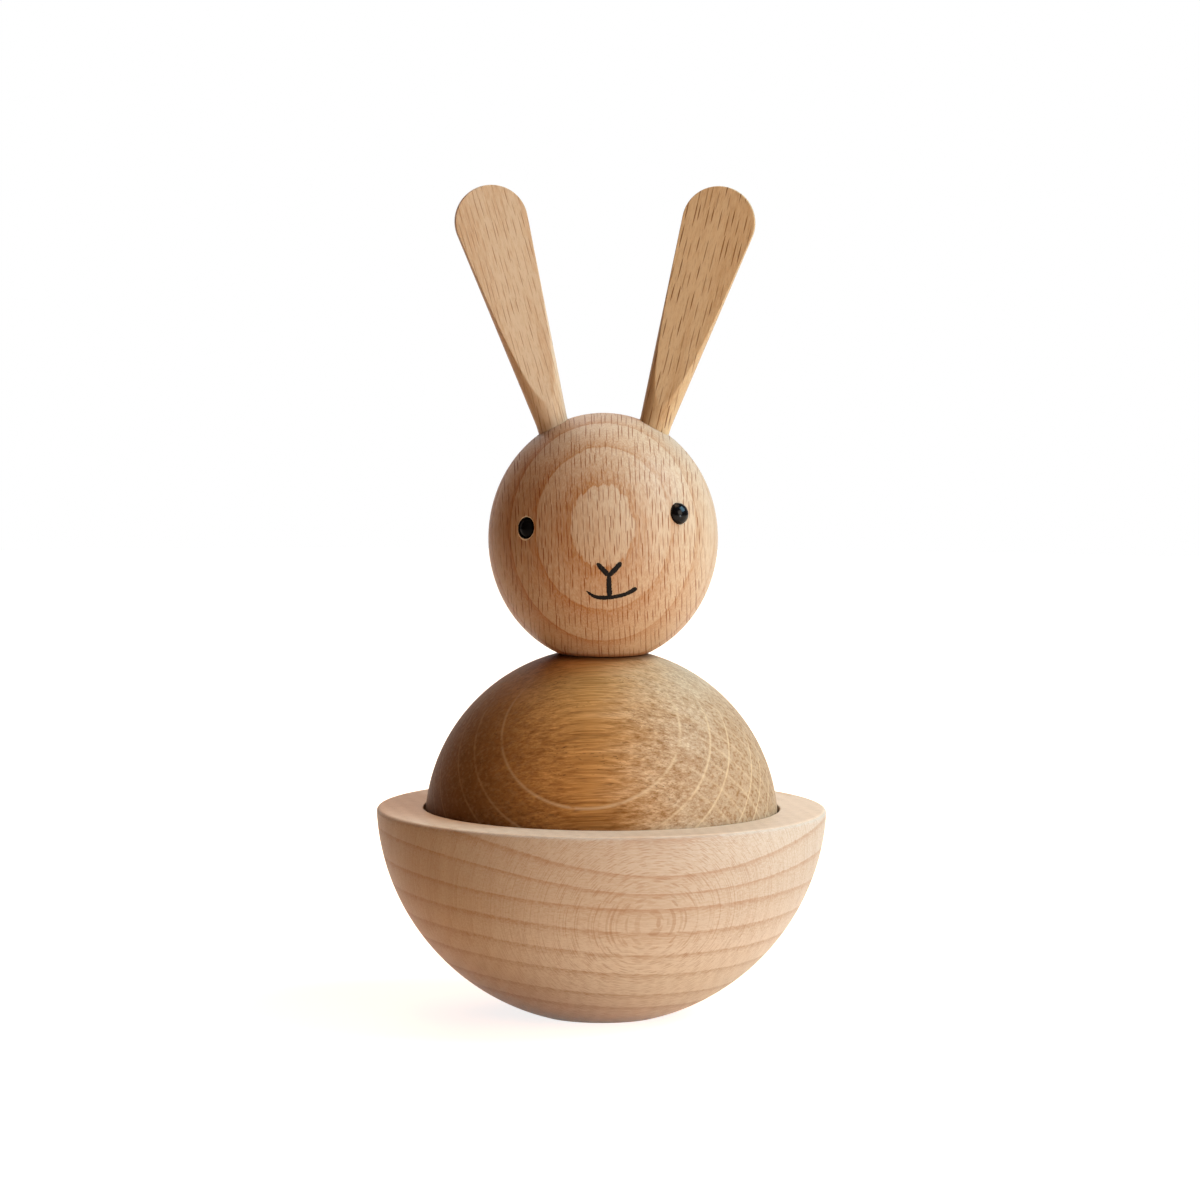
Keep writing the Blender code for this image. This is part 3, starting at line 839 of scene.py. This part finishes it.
def fillet(before, corner, after, radius):
    """A corner of a profile rounded by an arc, with a support point outside each end of it."""
    corner = Vector(corner)
    back = (Vector(before) - corner).normalized()
    ahead = (Vector(after) - corner).normalized()
    half = back.angle(ahead) / 2
    reach = radius / math.tan(half)
    centre = corner + (back + ahead).normalized() * (radius / math.sin(half))
    turn = math.pi - 2 * half
    first = corner + back * reach - centre
    last = corner + ahead * reach - centre
    points = [corner + back * reach * FILLET_SUPPORT]
    for step in range(FILLET_STEPS + 1):
        share = step / FILLET_STEPS
        spoke = (math.sin((1 - share) * turn) * first + math.sin(share * turn) * last) / math.sin(turn)
        points.append(centre + spoke)
    points.append(corner + ahead * reach * FILLET_SUPPORT)
    return [tuple(point) for point in points]


def lathe_mesh(name, profile, place=Matrix.Identity(4), segments=TURN_SEGMENTS):
    """A closed turned shape from (r, z) points that start and end on the axis."""
    bm = bmesh.new()
    rings = []
    for r, z in profile:
        if r < 1e-9:
            rings.append([bm.verts.new((0, 0, z))])
            continue
        spokes = [math.tau * step / segments for step in range(segments)]
        rings.append([bm.verts.new((r * math.cos(a), r * math.sin(a), z)) for a in spokes])
    for lower, upper in zip(rings, rings[1:]):
        for step in range(segments):
            corners = [lower[step % len(lower)], lower[(step + 1) % len(lower)]]
            corners += [upper[(step + 1) % len(upper)], upper[step % len(upper)]]
            bm.faces.new(list(dict.fromkeys(corners)))
    mesh = mesh_from(bm, name)
    mesh.transform(place)
    return mesh


def cut(target, cutter):
    """Take the cutter's shape out of the target for good. The cut faces keep the cutter's material."""
    modifier = target.modifiers.new("cut", "BOOLEAN")
    modifier.operation = "DIFFERENCE"
    modifier.solver = "EXACT"
    modifier.material_mode = "TRANSFER"
    modifier.object = cutter
    evaluated = target.evaluated_get(bpy.context.evaluated_depsgraph_get())
    mesh = bpy.data.meshes.new_from_object(evaluated)
    target.modifiers.clear()
    target.data = mesh
    bpy.data.objects.remove(cutter)


def frame_along(origin, direction, front):
    """A placement with its Z along direction and its -Y turned as far as it can be towards front."""
    z_axis = Vector(direction).normalized()
    x_axis = z_axis.cross(Vector(front)).normalized()
    rotation = Matrix((x_axis, z_axis.cross(x_axis), z_axis)).transposed()
    return Matrix.Translation(origin) @ rotation.to_4x4()


def base_piece(material):
    foot_angle = -math.acos(FOOT_RADIUS / BASE_RADIUS)
    rounding_z = RIM_Z - RIM_ROUND
    drop = BALL_CENTRE_Z - rounding_z
    rounding_r = math.sqrt((BASE_RADIUS - RIM_ROUND) ** 2 - drop**2)
    side_end = -math.asin(drop / (BASE_RADIUS - RIM_ROUND))
    side = arc(BASE_RADIUS, foot_angle, side_end, BALL_CENTRE_Z)
    rounding = [(rounding_r + RIM_ROUND * math.cos(a), rounding_z + RIM_ROUND * math.sin(a))
                for a in np.linspace(side_end, math.pi / 2, RIM_STEPS)[1:]]
    seat_z = RIM_Z - SEAT_DEPTH
    bore_end = seat_z - BASE_BORE_DEPTH
    profile = [(0.0, 0.0)] + fillet((0.0, 0.0), side[0], side[1], FOOT_ROUND) + side[2:] + rounding
    profile += [(rounding_r - RIM_SUPPORT, RIM_Z)]
    profile += fillet((rounding_r, RIM_Z), (SEAT_RADIUS, RIM_Z), (SEAT_RADIUS, seat_z), INNER_RIM_ROUND)
    profile += [(SEAT_RADIUS, seat_z), (BASE_BORE_RADIUS, seat_z)]
    profile += [(BASE_BORE_RADIUS, bore_end), (0.0, bore_end)]
    return finish_mesh("turned_base", lathe_mesh("turned_base", profile), material)


def dome_piece(material):
    top_angle = math.acos(NECK_FLAT_RADIUS / DOME_RADIUS)
    side = arc(DOME_RADIUS, 0.0, top_angle)
    neck_end = DOME_HEIGHT - NECK_BORE_DEPTH
    profile = [(0.0, PIVOT_BORE_DEPTH), (PIVOT_BORE_RADIUS, PIVOT_BORE_DEPTH), (PIVOT_BORE_RADIUS, 0.0)]
    profile += fillet(profile[-1], side[0], side[1], DOME_EDGE_ROUND) + side[2:-2]
    profile += fillet(side[-2], side[-1], (NECK_BORE_RADIUS, DOME_HEIGHT), NECK_FLAT_ROUND)
    profile += [(NECK_BORE_RADIUS, DOME_HEIGHT), (NECK_BORE_RADIUS, neck_end), (0.0, neck_end)]
    mesh = lathe_mesh("turned_dome", profile, Matrix.Translation((0, 0, DOME_Z)))
    return finish_mesh("turned_dome", mesh, material)


def on_head(x, z, lift=0.0):
    """The point on the front of the head at (x, z) from its centre, lifted off it along its normal."""
    depth = HEAD_RADIUS * math.sqrt(1 - (x / HEAD_RADIUS) ** 2 - (z / HEAD_HALF_HEIGHT) ** 2)
    normal = Vector((x / HEAD_RADIUS**2, -depth / HEAD_RADIUS**2, z / HEAD_HALF_HEIGHT**2)).normalized()
    return Vector((x, -depth, z + HEAD_Z)) + normal * lift


def eye_place(name):
    """Where an eye's hole leaves the head, square to the surface there."""
    side = -1 if name == "eye_left" else 1
    height = EYE_HEIGHT[name]
    ring = HEAD_RADIUS * math.sqrt(1 - (height / HEAD_HALF_HEIGHT) ** 2)
    point = on_head(side * ring * math.sin(EYE_AZIMUTH), height)
    normal = Vector((point.x / HEAD_RADIUS**2, point.y / HEAD_RADIUS**2, height / HEAD_HALF_HEIGHT**2))
    return frame_along(point, normal, (0, 0, -1))


def ear_place(name):
    joint = JOINTS[name + "_twist"]
    place = frame_along(joint["pos_m"], joint["axis"], (0, -1, 0))
    return place @ Matrix.Rotation(EAR_TWIST[name], 4, "Z")


def drill(target, place, radius, depth, wall, chipped=None, mouth=0.0, seed=0):
    """A blind hole. Its mouth is chipped outwards by about the given width, most above and below."""
    chips = random.Random(seed)
    chip_floor = -CHIP_DEPTH - radius**2 / (2 * HEAD_RADIUS)
    profile = [(0.0, -depth), (radius, -depth), (radius, chip_floor), (radius, CHIP_CLEAR), (0.0, CHIP_CLEAR)]
    mesh = lathe_mesh("drill", profile, place, SMALL_TURN_SEGMENTS)
    waves = [(count, chips.uniform(0, math.tau), chips.uniform(*CHIP_WAVE_SIZES)) for count in CHIP_WAVES]
    back = place.inverted()
    for vertex in mesh.vertices:
        local = back @ vertex.co
        reach = math.hypot(local.x, local.y)
        if local.z < 0 or reach < radius / 2:
            continue
        angle = math.atan2(local.y, local.x)
        ragged = sum(size * math.sin(count * angle + phase) for count, phase, size in waves)
        chip = CHIP_EVEN + CHIP_ABOVE_AND_BELOW * math.sin(angle) ** 2
        chip = chip + CHIP_ONE_SIDED * math.cos(angle + CHIP_SIDE_RADIANS) + CHIP_RAGGED * ragged
        width = mouth * max(CHIP_LEAST, chip) * (CHIP_CLEAR - chip_floor) / CHIP_DEPTH
        local.xy *= (radius + width) / reach
        vertex.co = place @ local
    cutter = finish_mesh("drill", mesh, wall)
    if chipped:
        mesh.materials.append(chipped)
        for face in mesh.polygons:
            face.material_index = int((back @ face.center).z > chip_floor)
    cut(target, cutter)


def head_piece(material, raw_wood, hole_wall):
    flat_angle = -math.acos(HEAD_FLAT_RADIUS / HEAD_RADIUS)
    side = arc(HEAD_RADIUS, flat_angle, math.pi / 2, stretch=HEAD_HALF_HEIGHT / HEAD_RADIUS)
    side[-1] = (0.0, side[-1][1])
    bore_end = -HEAD_FLAT_DROP + HEAD_BORE_DEPTH
    profile = [(0.0, bore_end), (HEAD_BORE_RADIUS, bore_end), (HEAD_BORE_RADIUS, -HEAD_FLAT_DROP)]
    profile += fillet(profile[-1], side[0], side[1], HEAD_FLAT_ROUND) + side[2:]
    mesh = lathe_mesh("turned_head", profile, Matrix.Translation((0, 0, HEAD_Z)))
    head = finish_mesh("turned_head", mesh, material)
    for name in EAR_TWIST:
        drill(head, ear_place(name), EAR_SOCKET_RADIUS, EAR_SOCKET_DEPTH, material)
    # The eye holes have black walls, in the ink's material, and chips of raw wood round their mouths
    for seed, (name, mouth) in enumerate(EYE_CHIP_WIDTH.items()):
        depth = EYE_PEG_LENGTH - EYE_SHOULDER[name] + EYE_HOLE_END_GAP
        drill(head, eye_place(name), EYE_HOLE_RADIUS, depth, hole_wall, raw_wood, mouth, seed)
    shade_as_egg(head.data)
    return head


def shade_as_egg(mesh):
    """Give the head's skin the exact normals of its egg, so that the holes leave no creases in it."""
    stretch = HEAD_RADIUS / HEAD_HALF_HEIGHT
    mesh.set_sharp_from_angle(angle=SHARP_ANGLE)
    normals = [Vector(corner.vector) for corner in mesh.corner_normals]
    skin_z = HEAD_Z - HEAD_FLAT_DROP + HEAD_FLAT_ROUND
    for face in mesh.polygons:
        points = [mesh.vertices[index].co - Vector((0, 0, HEAD_Z)) for index in face.vertices]
        reach = [math.hypot(p.x, p.y, p.z * stretch) for p in points]
        if min(reach) < HEAD_RADIUS - SKIN_TOLERANCE or face.center.z < skin_z:
            continue
        for corner, p in zip(face.loop_indices, points):
            normals[corner] = Vector((p.x, p.y, p.z * stretch**2)).normalized()
    mesh.normals_split_custom_set(normals)


def ear_rings():
    """(s, r) pairs from the tenon's end to the ear's tip: place along the axis and radius of the stick."""
    end_s = EAR_LENGTH - EAR_END_RADIUS
    rise = end_s - EAR_STEM_STRAIGHT
    slope = math.asin(EAR_END_RADIUS / math.hypot(rise, EAR_STEM_RADIUS)) - math.atan2(EAR_STEM_RADIUS, rise)
    cone_s = end_s - EAR_END_RADIUS * math.sin(slope)
    cone_r = EAR_END_RADIUS * math.cos(slope)
    rings = [(-EAR_TENON_LENGTH, EAR_STEM_RADIUS - EAR_TENON_CHAMFER)]
    rings += [(-EAR_TENON_LENGTH + EAR_TENON_CHAMFER, EAR_STEM_RADIUS), (-EAR_TENON_RING, EAR_STEM_RADIUS)]
    rings += [(0.0, EAR_STEM_RADIUS)]
    steps = round((cone_s - EAR_STEM_STRAIGHT) / EAR_RING_STEP)
    for share in np.linspace(0, 1, steps + 1):
        rings.append((EAR_STEM_STRAIGHT + share * (cone_s - EAR_STEM_STRAIGHT),
                      EAR_STEM_RADIUS + share * (cone_r - EAR_STEM_RADIUS)))
    for angle in np.linspace(-slope, math.pi / 2, EAR_END_STEPS)[1:-1]:
        rings.append((end_s + EAR_END_RADIUS * math.sin(angle), EAR_END_RADIUS * math.cos(angle)))
    return rings


def ear_section(s, r):
    """Points round the stick where both faces are hollowed flat, with softly rounded edges."""
    half = EAR_TIP_THICKNESS / 2 + (EAR_LENGTH - s) ** 2 / (2 * EAR_FACE_HOLLOW_RADIUS)
    if s < 0:
        half = 2 * EAR_STEM_RADIUS
    edge = math.asin(min(half / r, EAR_FLAT_LIMIT))
    width = r * math.cos(edge)
    angles = [edge * math.cos(math.pi * (1 - step / EAR_EDGE_STEPS)) for step in range(EAR_EDGE_STEPS)]
    flat = [width * math.cos(math.pi * step / EAR_FLAT_STEPS) for step in range(EAR_FLAT_STEPS)]
    angles += [math.atan2(r * math.sin(edge), x) for x in flat]
    points = []
    for angle in angles + [a + math.pi for a in angles]:
        face = half / max(abs(math.sin(angle)), 1e-6)
        near = max(EAR_EDGE_ROUND - abs(face - r), 0.0)
        reach = min(face, r) - near**2 / (4 * EAR_EDGE_ROUND)
        points.append((reach * math.cos(angle), reach * math.sin(angle)))
    return points


def ear_piece(name, material):
    bm = bmesh.new()
    rows = []
    for s, r in ear_rings():
        rows.append([bm.verts.new((x, y, s)) for x, y in ear_section(s, r)])
    join_rows(bm, rows)
    root = bm.verts.new((0, 0, -EAR_TENON_LENGTH))
    tip = bm.verts.new((0, 0, EAR_LENGTH))
    count = len(rows[0])
    for step in range(count):
        after = (step + 1) % count
        bm.faces.new((rows[0][after], rows[0][step], root))
        bm.faces.new((rows[-1][step], rows[-1][after], tip))
    mesh = mesh_from(bm, name + "_paddle")
    mesh.transform(ear_place(name))
    return finish_mesh(name + "_paddle", mesh, material, EAR_SHARP_ANGLE)


def eye_piece(name, material):
    dome = arc(EYE_RADIUS, 0.0, math.pi / 2, stretch=EYE_DOME_HEIGHT / EYE_RADIUS)
    dome[-1] = (0.0, dome[-1][1])
    profile = [(0.0, -EYE_PEG_LENGTH), (EYE_RADIUS, -EYE_PEG_LENGTH)]
    profile += fillet(profile[-1], dome[0], dome[EYE_EDGE_POINT], EYE_EDGE_ROUND)
    profile += dome[EYE_EDGE_POINT:]
    place = eye_place(name) @ Matrix.Translation((0, 0, EYE_SHOULDER[name]))
    mesh = lathe_mesh(name + "_peg", profile, place, SMALL_TURN_SEGMENTS)
    return finish_mesh(name + "_peg", mesh, material)


def pen_path(points, steps):
    """Evenly spread points on a smooth line through a few."""
    points = [Vector(p) for p in points]
    ends = [2 * points[0] - points[1]] + points + [2 * points[-1] - points[-2]]
    path = []
    for i in range(len(points) - 1):
        p0, p1, p2, p3 = ends[i:i + 4]
        for step in range(steps):
            t = step / steps
            path.append(0.5 * (2 * p1 + (p2 - p0) * t + (2 * p0 - 5 * p1 + 4 * p2 - p3) * t**2
                               + (3 * p1 - p0 - 3 * p2 + p3) * t**3))
    return path + [points[-1]]


def pen_stroke(bm, points, widths, hand):
    """A thin raised line of ink on the head with an unsteady edge and round ends. Sizes in millimetres."""
    path = pen_path(points, PEN_STEPS)
    last = len(path) - 1
    rows = []
    for i, point in enumerate(path):
        direction = (path[min(i + 1, last)] - path[max(i - 1, 0)]).normalized()
        across = Vector((-direction.y, direction.x))
        place = i / last * (len(widths) - 1)
        low = min(int(place), len(widths) - 2)
        width = widths[low] + (widths[low + 1] - widths[low]) * (place - low)
        from_end = min(i, last - i)
        width *= math.sqrt(min(1.0, PEN_END_SHARE + from_end * PEN_END_GROWTH))
        left = width / 2 * hand.uniform(*PEN_UNSTEADINESS)
        right = width / 2 * hand.uniform(*PEN_UNSTEADINESS)
        row = []
        for share in PEN_SECTION:
            spot = (point + across * (left if share < 0 else right) * share) / MM
            lift = INK_EDGE + (INK_HEIGHT - INK_EDGE) * (1 - share**2)
            row.append(bm.verts.new(on_head(spot.x, spot.y, lift)))
        for side in (right, -left):
            spot = (point + across * side) / MM
            row.append(bm.verts.new(on_head(spot.x, spot.y, INK_ROOT)))
        rows.append(row)
    join_rows(bm, rows)
    bm.faces.new(rows[0])
    bm.faces.new(list(reversed(rows[-1])))


def face_piece(material):
    """The hand-drawn nose and mouth, in one mesh of four strokes."""
    hand = random.Random(PEN_SEED)
    bm = bmesh.new()
    pen_stroke(bm, NOSE_LEFT, NOSE_LEFT_WIDTHS, hand)
    pen_stroke(bm, NOSE_RIGHT, NOSE_RIGHT_WIDTHS, hand)
    pen_stroke(bm, STEM, STEM_WIDTHS, hand)
    pen_stroke(bm, MOUTH, MOUTH_WIDTHS, hand)
    return finish_mesh("inked_face", mesh_from(bm, "inked_face"), material)


def ear_beech(name, colours, rays):
    """An ear's wood. Its grain runs along its axis but for a lean, through its width and its thickness."""
    turned = (ear_place(name) @ Matrix.Rotation(EAR_GRAIN_LEAN[name], 4, "Y")).to_3x3()
    directions = [turned.col[2].copy(), turned.col[0].copy(), turned.col[1].copy()]
    return beech("beech_" + name, JOINTS[name + "_twist"]["pos_m"], directions, ear_layers, colours, rays)


def dress():
    """Make every piece, in its material, on its body."""
    head_centre = (0, 0, HEAD_Z)
    base_beech = beech("beech_base", (0, 0, BALL_CENTRE_Z), BASE_GRAIN, base_layers, BASE_WOOD, BASE_RAYS,
                       gloss=BASE_GLOSS, top=BASE_PAINTED_TOP_LIGHT, low=BASE_PAINTED_BOUNCE)
    head_beech = beech("beech_head", head_centre, HEAD_GRAIN, head_layers, HEAD_WOOD, HEAD_RAYS)
    raw_beech = beech("beech_raw", head_centre, HEAD_GRAIN, straight_layers, RAW_WOOD, RAW_RAYS,
                      RAW_ROUGHNESS)
    ears = {
        "ear_left": ear_beech("ear_left", EAR_LEFT_WOOD, EAR_LEFT_RAYS),
        "ear_right": ear_beech("ear_right", EAR_RIGHT_WOOD, EAR_RIGHT_RAYS),
    }
    dowel_beech = beech("beech_dowels", (0, 0, 0), (Z_AXIS, X_AXIS, Y_AXIS), straight_layers,
                        DOWEL_WOOD, DOWEL_RAYS)
    eyes = {
        "eye_left": gloss_black("black_dull", EYE_DULL_GLOSS),
        "eye_right": gloss_black("black_bright", EYE_BRIGHT_GLOSS),
    }
    pieces = [
        (base_piece(base_beech), "base", "base_bowl", "beech_base"),
        (dome_piece(oak("oak_dome")), "dome", "body_dome", "oak_dome"),
        (head_piece(head_beech, raw_beech, ink("stained_hole")), "head", "head", "beech_head"),
    ]
    for name, material in ears.items():
        pieces.append((ear_piece(name, material), name, name, "beech_ears"))
    for name, material in eyes.items():
        pieces.append((eye_piece(name, material), "head", name, "black_eyes"))
    for piece, body, node, slot in pieces:
        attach(piece, body)
        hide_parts(node)
    face = face_piece(ink("pen_ink"))
    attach(face, "head")
    for name in ("base_dowel", "neck_dowel"):
        frame["nodes"][name].material_slots[0].material = dowel_beech


# Studio
def soft_box(name, lamp):
    """A square lamp that faces the middle of the figure."""
    light = bpy.data.lights.new(name, "AREA")
    light.size = lamp.size
    light.energy = lamp.power
    light.color = lamp.colour
    item = bpy.data.objects.new(name, light)
    bpy.context.scene.collection.objects.link(item)
    middle = (CAD_LOW + CAD_HIGH) / 2
    item.location = middle + Vector(lamp.direction).normalized() * lamp.distance
    item.rotation_euler = (middle - item.location).to_track_quat("-Z", "Y").to_euler()


def background_rays(tree):
    """Fields that are 1 for rays from the camera, by reflection and through glass."""
    path = tree.nodes.new("ShaderNodeLightPath")
    return [Field(path.outputs[name]) for name in BACKGROUND_RAYS]


def seen_directly(tree):
    """1 for all rays that show the background."""
    camera, glossy, transmission = background_rays(tree)
    return calc("MAXIMUM", calc("MAXIMUM", camera, glossy), transmission)


def light_room():
    """A room that lights dimly and warmly and looks white. Reflections see white only behind the figure."""
    world = bpy.data.worlds.new("white_room")
    bpy.context.scene.world = world
    world.use_nodes = True
    tree = world.node_tree
    camera, glossy, transmission = background_rays(tree)
    direction = Field(tree.nodes.new("ShaderNodeTexCoord").outputs["Generated"])
    backdrop = smooth(along(direction, Y_AXIS), *BACKDROP_EDGE)
    white = calc("MAXIMUM", camera, calc("MAXIMUM", glossy, transmission) * backdrop)
    feed(tree.nodes["Background"].inputs["Color"], blend(white, ROOM_COLOUR, WHITE))


def floor_piece():
    """A pale round floor that shows white, and keeps the figure's shadow close to it."""
    bm = bmesh.new()
    bmesh.ops.create_circle(bm, cap_ends=True, segments=FLOOR_SEGMENTS, radius=FLOOR_RADIUS)
    mesh = bpy.data.meshes.new("floor")
    bm.to_mesh(mesh)
    bm.free()
    material, shader, place = new_material("pale_floor")
    shader.inputs["Base Color"].default_value = FLOOR_COLOUR
    shader.inputs["Roughness"].default_value = FLOOR_ROUGHNESS
    shader.inputs["Specular IOR Level"].default_value = 0.0
    shader.inputs["Emission Color"].default_value = WHITE
    x, y = along(place, X_AXIS), along(place, Y_AXIS)
    reach = calc("SQRT", x * x + y * y)
    far = smooth(reach, FLOOR_WHITE_FROM * MM * FLOOR_FADE_SHARE, FLOOR_WHITE_FROM * MM)
    glow = between(far, FLOOR_GLOW, 1.0)
    feed(shader.inputs["Emission Strength"], seen_directly(material.node_tree) * glow)
    floor = finish_mesh("floor", mesh, material)


def add_camera():
    """A camera that frames the figure as the picture does."""
    data = bpy.data.cameras.new("camera")
    data.sensor_width = SENSOR_MM
    data.lens = SENSOR_MM * FOCAL_PX / IMAGE_PX
    data.shift_x = (IMAGE_PX / 2 - PRINCIPAL_X_PX) / IMAGE_PX
    data.clip_start, data.clip_end = CAMERA_CLIP
    camera = bpy.data.objects.new("camera", data)
    bpy.context.scene.collection.objects.link(camera)
    turn = Matrix.Rotation(math.pi / 2 - CAMERA_DOWN, 4, "X") @ Matrix.Rotation(CAMERA_ROLL, 4, "Z")
    camera.matrix_world = Matrix.Translation(CAMERA_PLACE) @ turn
    bpy.context.scene.camera = camera


dress()
for lamp_name, lamp_values in LAMPS.items():
    soft_box(lamp_name, lamp_values)
light_room()
floor_piece()
add_camera()
bpy.context.scene.view_settings.view_transform = "Standard"
